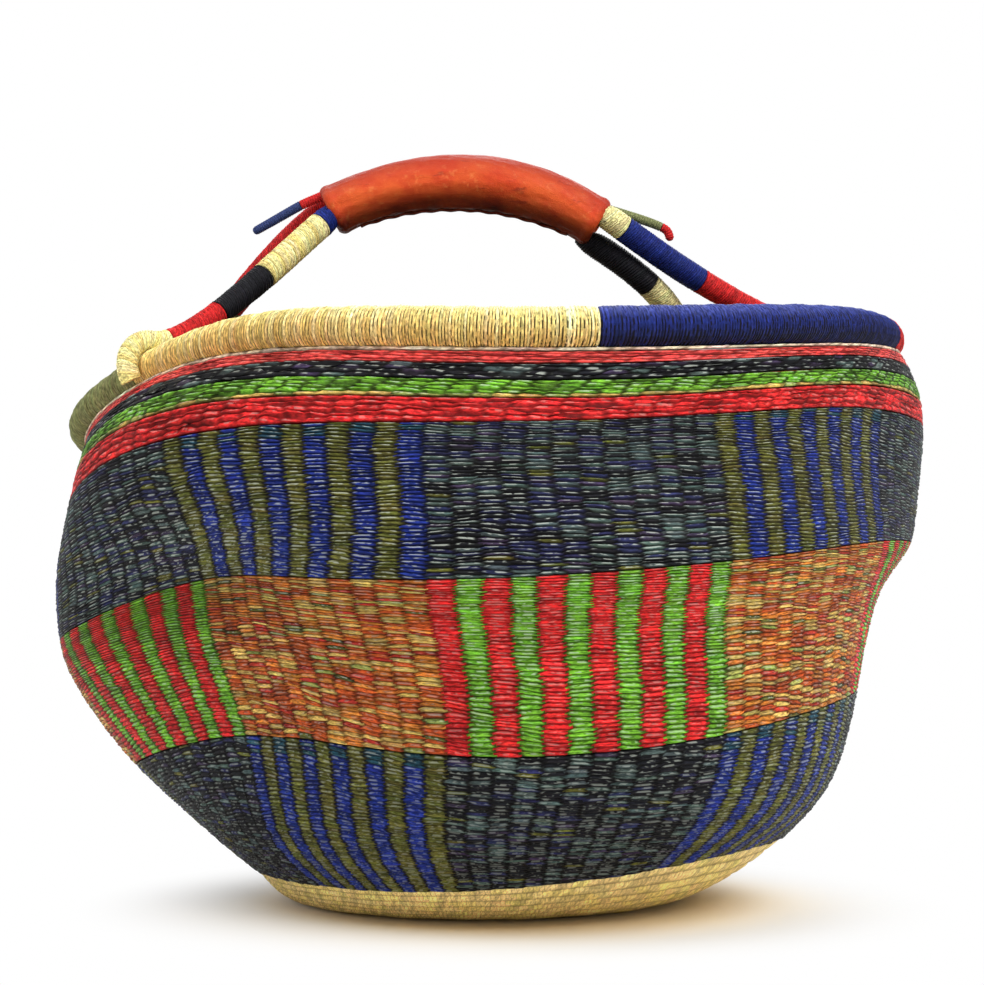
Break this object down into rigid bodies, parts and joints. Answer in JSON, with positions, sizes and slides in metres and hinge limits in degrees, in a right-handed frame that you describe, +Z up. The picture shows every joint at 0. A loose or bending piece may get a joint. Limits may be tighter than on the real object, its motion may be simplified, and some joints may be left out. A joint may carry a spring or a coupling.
{
  "type": "bolga basket",
  "caption": "Round woven straw market basket with a rolled rim, coloured bands and stripes, and a double rope handle with a leather grip.",
  "frame": {"origin": "on the floor, on the flat underside that the basket stands on", "axes": "+Z up, +X to the right along the longest side, -Y the front"},
  "size_m": [0.4025, 0.3838, 0.3415],
  "materials": {
    "base_straw": "matt plaited grass",
    "slate_weave": "matt woven grass in blue, olive and black",
    "orange_weave": "matt woven grass in orange, red, green and straw",
    "red_straw": "matt dyed grass",
    "green_straw": "matt dyed grass",
    "black_straw": "matt dyed grass",
    "salmon_straw": "matt dyed grass",
    "natural_straw": "satin undyed grass",
    "navy_straw": "satin dyed grass",
    "olive_straw": "matt dyed grass",
    "core_grass": "matt grass bundle",
    "grip_leather": "satin leather with soft folds"
  },
  "bodies": {
    "root": {"base_disc": "base_straw", "lower_weft_zone": "slate_weave", "middle_weft_zone": "orange_weave", "upper_weft_zone": "slate_weave", "lower_red_band": "red_straw", "green_band": "green_straw", "black_band": "black_straw", "upper_red_band": "red_straw", "top_edge_row": "salmon_straw", "rim_core": "core_grass", "grip_leather_cover": "grip_leather", "grip_padding": "core_grass", "grip_lacing": "grip_leather", "rim_wrap_natural_front": "natural_straw", "rim_wrap_navy_right": "navy_straw", "rim_wrap_red_right": "red_straw", "rim_wrap_natural_back": "natural_straw", "rim_wrap_black_back": "black_straw", "rim_wrap_olive_left": "olive_straw", "front_left_wrap_navy": "navy_straw", "front_left_wrap_natural": "natural_straw", "front_left_wrap_black": "black_straw", "front_left_wrap_red": "red_straw", "front_left_foot_natural": "natural_straw", "front_right_wrap_natural": "natural_straw", "front_right_wrap_blue": "navy_straw", "front_right_wrap_red": "red_straw", "front_right_foot_red": "red_straw", "back_left_wrap_red": "red_straw", "back_left_wrap_olive": "olive_straw", "back_left_foot_navy": "navy_straw", "back_right_wrap_black": "black_straw", "back_right_wrap_natural": "natural_straw", "back_right_foot_natural": "natural_straw", "front_left_rope_core": "core_grass", "front_right_rope_core": "core_grass", "back_left_rope_core": "core_grass", "back_right_rope_core": "core_grass", "left_tail_red": "red_straw", "left_tail_navy": "navy_straw", "right_tail_olive": "olive_straw", "right_tail_red": "red_straw"}
  },
  "joints": []
}
